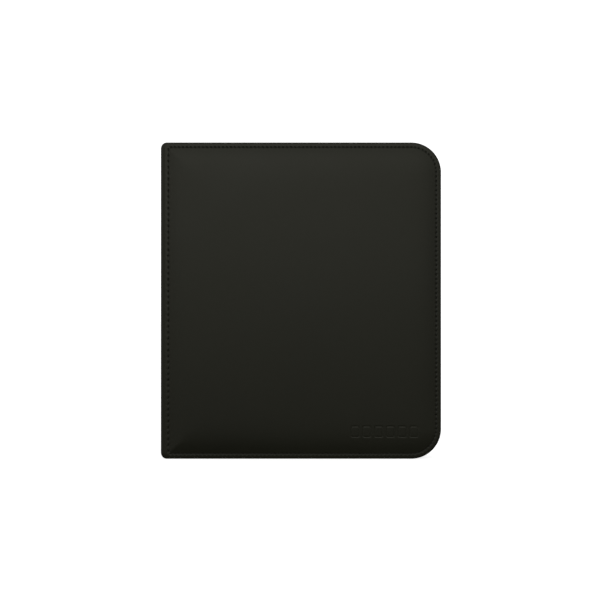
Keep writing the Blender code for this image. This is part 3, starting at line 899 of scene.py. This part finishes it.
def coil(name, places, outs, side, made_of, body, *nodes):
    """A row of nylon coil along a line of places."""
    turns = round(line_length(places) / COIL_PITCH)
    radius = (ROW_OUTER - ROW_INNER) / 2 - COIL_WIRE
    paths, ups = helix(places, outs, (0, side, 0), turns, (radius, radius))
    points, faces = tubes(paths, ups, np.full(paths.shape[:2], COIL_WIRE), 5)
    cord, cord_faces = tubes(places[None], outs[None], np.full((1, len(places)), CORE), 6)
    wound = points.size // 3
    piece = outward(mesh_piece(name, np.vstack([points.reshape(-1, 3), cord.reshape(-1, 3)]),
                               [*faces, *(group + wound for group in cord_faces)], made_of))
    settle(piece, "zipper_coil", body, *nodes)


def zipper_coil(which, side, made_of):
    """A cover's row of coils, along the edge of its tape."""
    start_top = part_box(f"zipper_tape_{which}_top")[0].x
    start_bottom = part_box(f"zipper_top_stop_{which}")[1].x + CLEARANCE
    edge, normal = zip_route(start_top, start_bottom, 0.003)
    places = upright(edge - ZIP_INSET * normal, side * ((ROW_INNER + ROW_OUTER) / 2 - lean(edge)))
    name, body = f"zipper_coil_{which}", f"{which}_cover"
    coil(f"{name}_row", places, upright(normal, 0.0), side, made_of, body, name)


def zipper_tail(cloth, nylon):
    """The loose end of the zipper past its bottom stop: two tapes and their rows of coils."""
    low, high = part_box("zipper_tail")
    middle_z = HEIGHT - ZIP_INSET
    front_end, coil_y = high.x - TAIL_FRONT_SHORT, ROW_OUTER - COIL_WIRE
    outline = [
        (low.x, -high.y + 0.0010), (low.x + 0.0010, -high.y), (front_end - 0.0015, -high.y),
        (front_end, -high.y + 0.0008), (front_end, -coil_y), (low.x + 0.0030, -coil_y),
        (low.x + 0.0020, 0.0), (low.x + 0.0030, coil_y), (high.x, coil_y), (high.x, high.y - 0.0008),
        (high.x - 0.0015, high.y), (low.x + 0.0010, high.y), (low.x, high.y - 0.0010),
    ]
    heights = (-TAPE / 2, -TAPE / 4, TAPE / 4, TAPE / 2)
    piece = slab("zipper_tail_cloth", [[(x, y, middle_z + z) for x, y in outline] for z in heights], cloth)
    settle(piece, "zipper_tape", "back_cover", "zipper_tail")
    count = 12
    for which, side in SIDES.items():
        end = front_end if which == "front" else high.x
        xz = np.column_stack([np.linspace(low.x + 0.0005, end - 0.0003, count), np.full(count, middle_z)])
        places = upright(xz, side * (ROW_INNER + ROW_OUTER) / 2)
        outs = np.tile((0.0, 0.0, 1.0), (count, 1))
        coil(f"zipper_tail_coil_{which}", places, outs, side, nylon, "back_cover")


def clamp(name, node, body, made_of):
    """A metal stop crimped over the coils: a rounded block pinched across its middle."""
    low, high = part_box(node)
    middle, half = (low + high) / 2, (high - low) / 2
    stations = ((-1, 0.80), (-0.92, 0.92), (-0.75, 1.0), (-0.35, 1.0), (-0.15, 0.90), (0.15, 0.90),
                (0.35, 1.0), (0.75, 1.0), (0.92, 0.92), (1, 0.80))
    section = rounded_section(half.y, half.z, min(half.y, half.z) * 0.45)
    loops = [
        np.column_stack([np.full(len(section), middle.x + t * half.x), middle.y + section[:, 0] * size,
                         middle.z + section[:, 1] * size])
        for t, size in stations
    ]
    settle(slab(name, loops, made_of), "dark_metal", body, node)


def bevelled(piece, width, segments=3):
    edges = piece.modifiers.new("edges", "BEVEL")
    edges.width = width
    edges.segments = segments
    edges.limit_method = "ANGLE"
    edges.angle_limit = math.radians(35)
    return piece


def join(name, pieces):
    """One object from several mesh pieces, which share a material."""
    bm = bmesh.new()
    for piece in pieces:
        bm.from_mesh(piece.data)
    mesh = pieces[0].data
    bm.to_mesh(mesh)
    bm.free()
    for piece in pieces[1:]:
        bpy.data.objects.remove(piece)
    pieces[0].name = name
    return pieces[0]


def slider(made_of):
    """The slider: two shaped plates with flanges round the rows, a dividing post and a bail for the pull."""
    low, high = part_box("zipper_slider")
    centre, half = (low + high) / 2, (high - low) / 2
    plane = HEIGHT - ZIP_INSET
    inner, middle, outer = (SLIDER_CHANNEL + part * SLIDER_PLATE for part in (0, 0.5, 1))
    parts = []

    def add(outline, z0, z1):
        levels = [[(x, y, plane + z) for x, y in outline] for z in (z0, z1)]
        parts.append(slab("slider_part", levels, made_of))

    # In halves of the slider's box: narrow where the rows meet, wide and notched where they part.
    right = [(-1.0, 0.0), (-1.0, 0.42), (-0.93, 0.66), (-0.75, 0.76), (-0.2, 0.80), (0.25, 0.92),
             (0.6, 1.0), (0.86, 0.98), (0.98, 0.82), (1.0, 0.55), (0.93, 0.25), (0.86, 0.0)]
    flange = [(-0.80, 0.74), (-0.2, 0.78), (0.25, 0.90), (0.60, 0.975), (0.60, 0.84), (0.25, 0.765),
              (-0.2, 0.66), (-0.80, 0.64)]
    post = [(0.42, 0.0), (0.62, 0.11), (0.84, 0.11), (0.84, -0.11), (0.62, -0.11)]
    plate = [(centre.x + x * half.x, y * half.y) for x, y in right + [(x, -y) for x, y in right[-2:0:-1]]]
    add(plate, inner, outer)
    add(plate, -outer, -inner)
    for side in (-1, 1):
        loop = [(centre.x + x * half.x, side * max(y * half.y, ROW_OUTER + CLEARANCE)) for x, y in flange]
        add(loop, TAPE, middle)
        add(loop, -middle, -TAPE)
    add([(centre.x + x * half.x, y * half.y) for x, y in post], -middle, middle)
    body = bevelled(join("zipper_slider_body", parts), 0.00025)
    settle(body, "dark_metal", "zipper_slider", "zipper_slider")
    reach, top, base = BAIL_REACH - BAIL_WIRE, high.z - BAIL_WIRE, plane + outer - 0.0003
    leg = [(reach, base), (reach, top - 0.0008), (reach - 0.0007, top)]
    route = [(-x, z) for x, z in leg] + [(0, top)] + leg[::-1]
    paths = np.array([[(centre.x + x, 0.0, z) for x, z in route]])
    ups = np.broadcast_to(np.array([0.0, 1.0, 0.0]), paths.shape)
    points, faces = tubes(paths, ups, np.full(paths.shape[:2], BAIL_WIRE), 10)
    points[..., 1] *= BAIL_WIDTH
    bail = outward(mesh_piece("zipper_slider_bail", points, faces, made_of))
    settle(bail, "dark_metal", "zipper_slider")


def pull(made_of):
    """The pull: a flat tab with a window at its axis, rounded edges and a pressed panel."""
    low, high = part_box("zipper_pull")
    bar, half_y = (high.z - low.z) / 2, (high.y - low.y) / 2
    axis_x, axis_z = low.x + bar, (low.z + high.z) / 2

    def tab(inset):
        """(x, y) round the tab, from the middle of its narrow end."""
        neck, wide, x0 = 0.0035 - inset, half_y - inset, low.x + inset
        side = [(x0, neck - 0.0005), (x0 + 0.0005, neck), (axis_x + 0.0070, neck), (axis_x + 0.0100, wide)]
        end = [(high.x - half_y + wide * math.cos(a), wide * math.sin(a))
               for a in np.radians(np.linspace(-90, 90, 13))]
        return [(x0, 0.0), *((x, -y) for x, y in side), *end, *side[::-1]]

    def opening(inset, x0, x1, half, count):
        """The window's outline with the same number of points as the tab's."""
        turn = 0.0006 + inset
        x0, x1, half = x0 - inset, x1 + inset, half + inset
        corners = [(x0, 0.0), (x0, -half + turn), (x0 + turn, -half), ((x0 + x1) / 2, -half),
                   (x1 - turn, -half)]
        lower = corners + [(x1, y) for y in np.linspace(-half + turn, 0, (count + 1) // 2 - len(corners) + 1)]
        upper = [(x, -y) for x, y in lower[-2:0:-1]]
        return (lower + upper)[:count]

    count, edge = len(tab(0)), 0.0002
    window = (axis_x + bar, axis_x + 0.0055, 0.0018)
    levels = ((edge, bar), (0, bar - edge), (0, -bar + edge), (edge, -bar))
    loops = [(tab(inset), z) for inset, z in levels]
    loops += [(opening(inset, *window, count), z) for inset, z in levels[::-1]]
    points = [[(x, y, axis_z + z) for x, y in loop] for loop, z in loops]
    faces = grid_faces(len(loops) + 1, count) % (len(loops) * count)  # the last loop meets the first
    piece = outward(mesh_piece("zipper_pull_tab", points, [faces], made_of, smooth=False))
    settle(piece, "dark_metal", "zipper_pull", "zipper_pull")
    outline = [(x, y) for x, y in tab(0.0016) if x > axis_x + 0.0088]
    levels = [[(x, y, axis_z + z) for x, y in outline] for z in (-bar - 0.00015, bar + 0.00015)]
    panel = bevelled(slab("zipper_pull_panel", levels, made_of), 0.00012, 2)
    settle(panel, "dark_metal", "zipper_pull")


# --- pages ---
def page_film(number, made_of, welded):
    """A page's clear pockets: three columns on each side, welded at the rows and open towards the spine."""
    name = f"page_{number:02d}"
    low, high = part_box(f"{name}_pockets")
    sheet_low, sheet_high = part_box(f"{name}_sheet")
    middle, sheet = (sheet_low.y + sheet_high.y) / 2, (sheet_high.y - sheet_low.y) / 2
    pitch_x = (sheet_high.x - WELD - low.x) / POCKET_COLUMNS
    pitch_z = (high.z - low.z - WELD) / POCKET_ROWS
    zs = [low.z + FILM_EDGE]
    for row in range(POCKET_ROWS):
        base = low.z + row * pitch_z
        zs += [base + WELD * 0.5, base + WELD, base + WELD + 0.0015, base + WELD + 0.004, base + 0.02,
               base + pitch_z / 2, base + pitch_z - 0.018, base + pitch_z - 0.003, base + pitch_z - 0.0006]
    zs += [high.z - WELD * 0.5, high.z - FILM_EDGE]
    zs = np.array(zs)
    welds_z = low.z + WELD / 2 + pitch_z * np.arange(POCKET_ROWS + 1)
    points, faces, on_weld = [], [], []
    for side in (-1, 1):
        for column in range(POCKET_COLUMNS):
            x0 = low.x + column * pitch_x
            x1 = x0 + pitch_x
            last = column == POCKET_COLUMNS - 1
            end = sheet_high.x - FILM_EDGE if last else x1 - 0.0002
            xs = np.array([x0 + 0.0006, x0 + 0.002, x0 + 0.008, (x0 + x1) / 2, x1 - 0.012, x1 - 0.005,
                           x1 - 0.0032, x1 - WELD * 0.8, end])
            across, up = np.meshgrid(xs, zs)
            to_row = np.abs(up[..., None] - welds_z).min(axis=-1) - WELD / 2
            to_side = x1 - WELD * 0.8 - across
            lift = FILM_WELDED + (FILM_LIFT - FILM_WELDED) * smoothstep(np.minimum(to_row, to_side) / 0.0035)
            lip = 0.00006 * (across < x0 + 0.001)
            y = middle + side * (sheet + lift + lip)
            start = sum(len(p) for p in points)
            points.append(np.stack([across, y, up], axis=-1).reshape(-1, 3))
            quads = open_grid(len(zs), len(xs), start)
            faces.append(quads if side > 0 else quads[:, ::-1])
            pressed = np.minimum(to_row, to_side) < WELD / 50
            on_weld.append(pressed[:-1, :-1] & pressed[:-1, 1:] & pressed[1:, 1:] & pressed[1:, :-1])
    piece = mesh_piece(f"{name}_pocket_film", np.vstack(points), faces, made_of)
    piece.data.materials.append(welded)
    second = np.concatenate([part.ravel() for part in on_weld]).astype("i")
    piece.data.polygons.foreach_set("material_index", second)
    thick = piece.modifiers.new("film", "SOLIDIFY")
    thick.thickness = FILM
    thick.offset = 0.0
    settle(piece, "pocket_film", name, f"{name}_pockets")


# --- stage, light and camera ---
def hide_from_light(piece):
    """The camera sees it, and it takes shadows, but its own light doesn't fall on the object."""
    piece.visible_diffuse = False
    piece.visible_glossy = False


def floor():
    n = Nodes("pale floor")
    cloud = n.noise(3, 2)
    n.set(
        Base_Color=n.ramp(cloud, (0.0, 0.86), (1.0, 0.90)),
        Roughness=0.85,
        Specular_IOR_Level=0.1,
        Emission_Color=(1, 1, 1, 1),
        Emission_Strength=0.78,
    )
    half = 12.0
    corners = [(-half, -half, -0.0002), (half, -half, -0.0002), (half, half, -0.0002), (-half, half, -0.0002)]
    made = mesh_piece("floor", corners, [[[0, 1, 2, 3]]], n.material, smooth=False)
    hide_from_light(made)


def backdrop():
    """A white dome that hides the horizon."""
    n = Nodes("pale backdrop")
    n.set(
        Base_Color=n.ramp(n.noise(1, 1), (0.0, 0.88), (1.0, 0.92)),
        Roughness=0.9,
        Emission_Color=(1, 1, 1, 1),
        Emission_Strength=1.0,
    )
    rows, columns, radius = 12, 32, 9.0
    latitude = np.linspace(-0.05, math.pi / 2 - 0.01, rows)[:, None]
    longitude = np.linspace(0, 2 * math.pi, columns, endpoint=False)[None]
    out, up = radius * np.cos(latitude), radius * np.sin(latitude)
    dome = np.stack(np.broadcast_arrays(out * np.cos(longitude), out * np.sin(longitude), up), axis=-1)
    top = [list(range((rows - 1) * columns, rows * columns))]
    made = mesh_piece("backdrop", dome, [grid_faces(rows, columns), top], n.material)
    hide_from_light(made)
    made.visible_shadow = False


def key_light():
    """A wide, weak light in front of the cover and above it."""
    lamp = bpy.data.lights.new("key", "AREA")
    lamp.shape = "RECTANGLE"
    lamp.size, lamp.size_y = KEY_SIZE
    lamp.energy = KEY_POWER
    made = bpy.data.objects.new("key", lamp)
    made.location = KEY_PLACE
    made.visible_camera = False
    made.rotation_euler = (Vector(KEY_TARGET) - Vector(KEY_PLACE)).to_track_quat("-Z", "Y").to_euler()
    bpy.context.scene.collection.objects.link(made)


def soft_sky():
    """Soft light from above, a little from the left and the front, with a darker band below the horizon."""
    world = bpy.data.worlds.new("studio")
    world.use_nodes = True
    bpy.context.scene.world = world
    n = Tree(world.node_tree)
    place = n.add("ShaderNodeTexCoord").outputs["Generated"]
    up = Vector(SKY_UP).normalized()
    along_up = n.add("ShaderNodeVectorMath", {0: place, 1: up}, operation="DOT_PRODUCT").outputs["Value"]
    height = n.add("ShaderNodeMapRange", {"Value": along_up, "From Min": -1}).outputs["Result"]
    grey = n.ramp(height, *(((position + 1) / 2, shade) for position, shade in SKY))
    n.put(n.tree.nodes["Background"].inputs["Color"], grey)


def camera():
    data = bpy.data.cameras.new("camera")
    data.lens, data.sensor_width = LENS, SENSOR
    made = bpy.data.objects.new("camera", data)
    made.location = (VIEW_X, -HALF - VIEW_WIDTH * LENS / SENSOR, HEIGHT / 2 + VIEW_RISE)
    made.rotation_euler = (math.pi / 2, 0, 0)
    bpy.context.scene.collection.objects.link(made)
    bpy.context.scene.camera = made
    bpy.context.scene.view_settings.view_transform = "Standard"


def main():
    leather, yarn, cloth, tape = leatherette(), thread(), lining_cloth(), tape_cloth()
    nylon, metal, padding = coil_nylon(), black_nickel(), foam()
    for which, side in SIDES.items():
        padded_skin(which, side, leather)
        cover_stitches(which, side, yarn)
        foam_pad(which, side, padding)
        cover_lining(which, side, cloth)
        hinge_lining(which, side, cloth)
        zipper_tape(which, side, tape, yarn)
        zipper_coil(which, side, nylon)
        clamp(f"zipper_top_stop_{which}_clamp", f"zipper_top_stop_{which}", f"{which}_cover", metal)
    spine_cloth("spine_lining", cloth)
    spine_cloth("page_binding_strip", cloth)
    spine_skin(leather)
    spine_stitches(yarn)
    clamp("zipper_bottom_stop_clamp", "zipper_bottom_stop", "back_cover", metal)
    zipper_tail(tape, nylon)
    slider(metal)
    pull(metal)
    film, welded = clear_film(), welded_film()
    for number in range(1, PAGE_COUNT + 1):
        page_film(number, film, welded)
    carried_nodes()
    floor()
    backdrop()
    key_light()
    soft_sky()
    camera()


main()
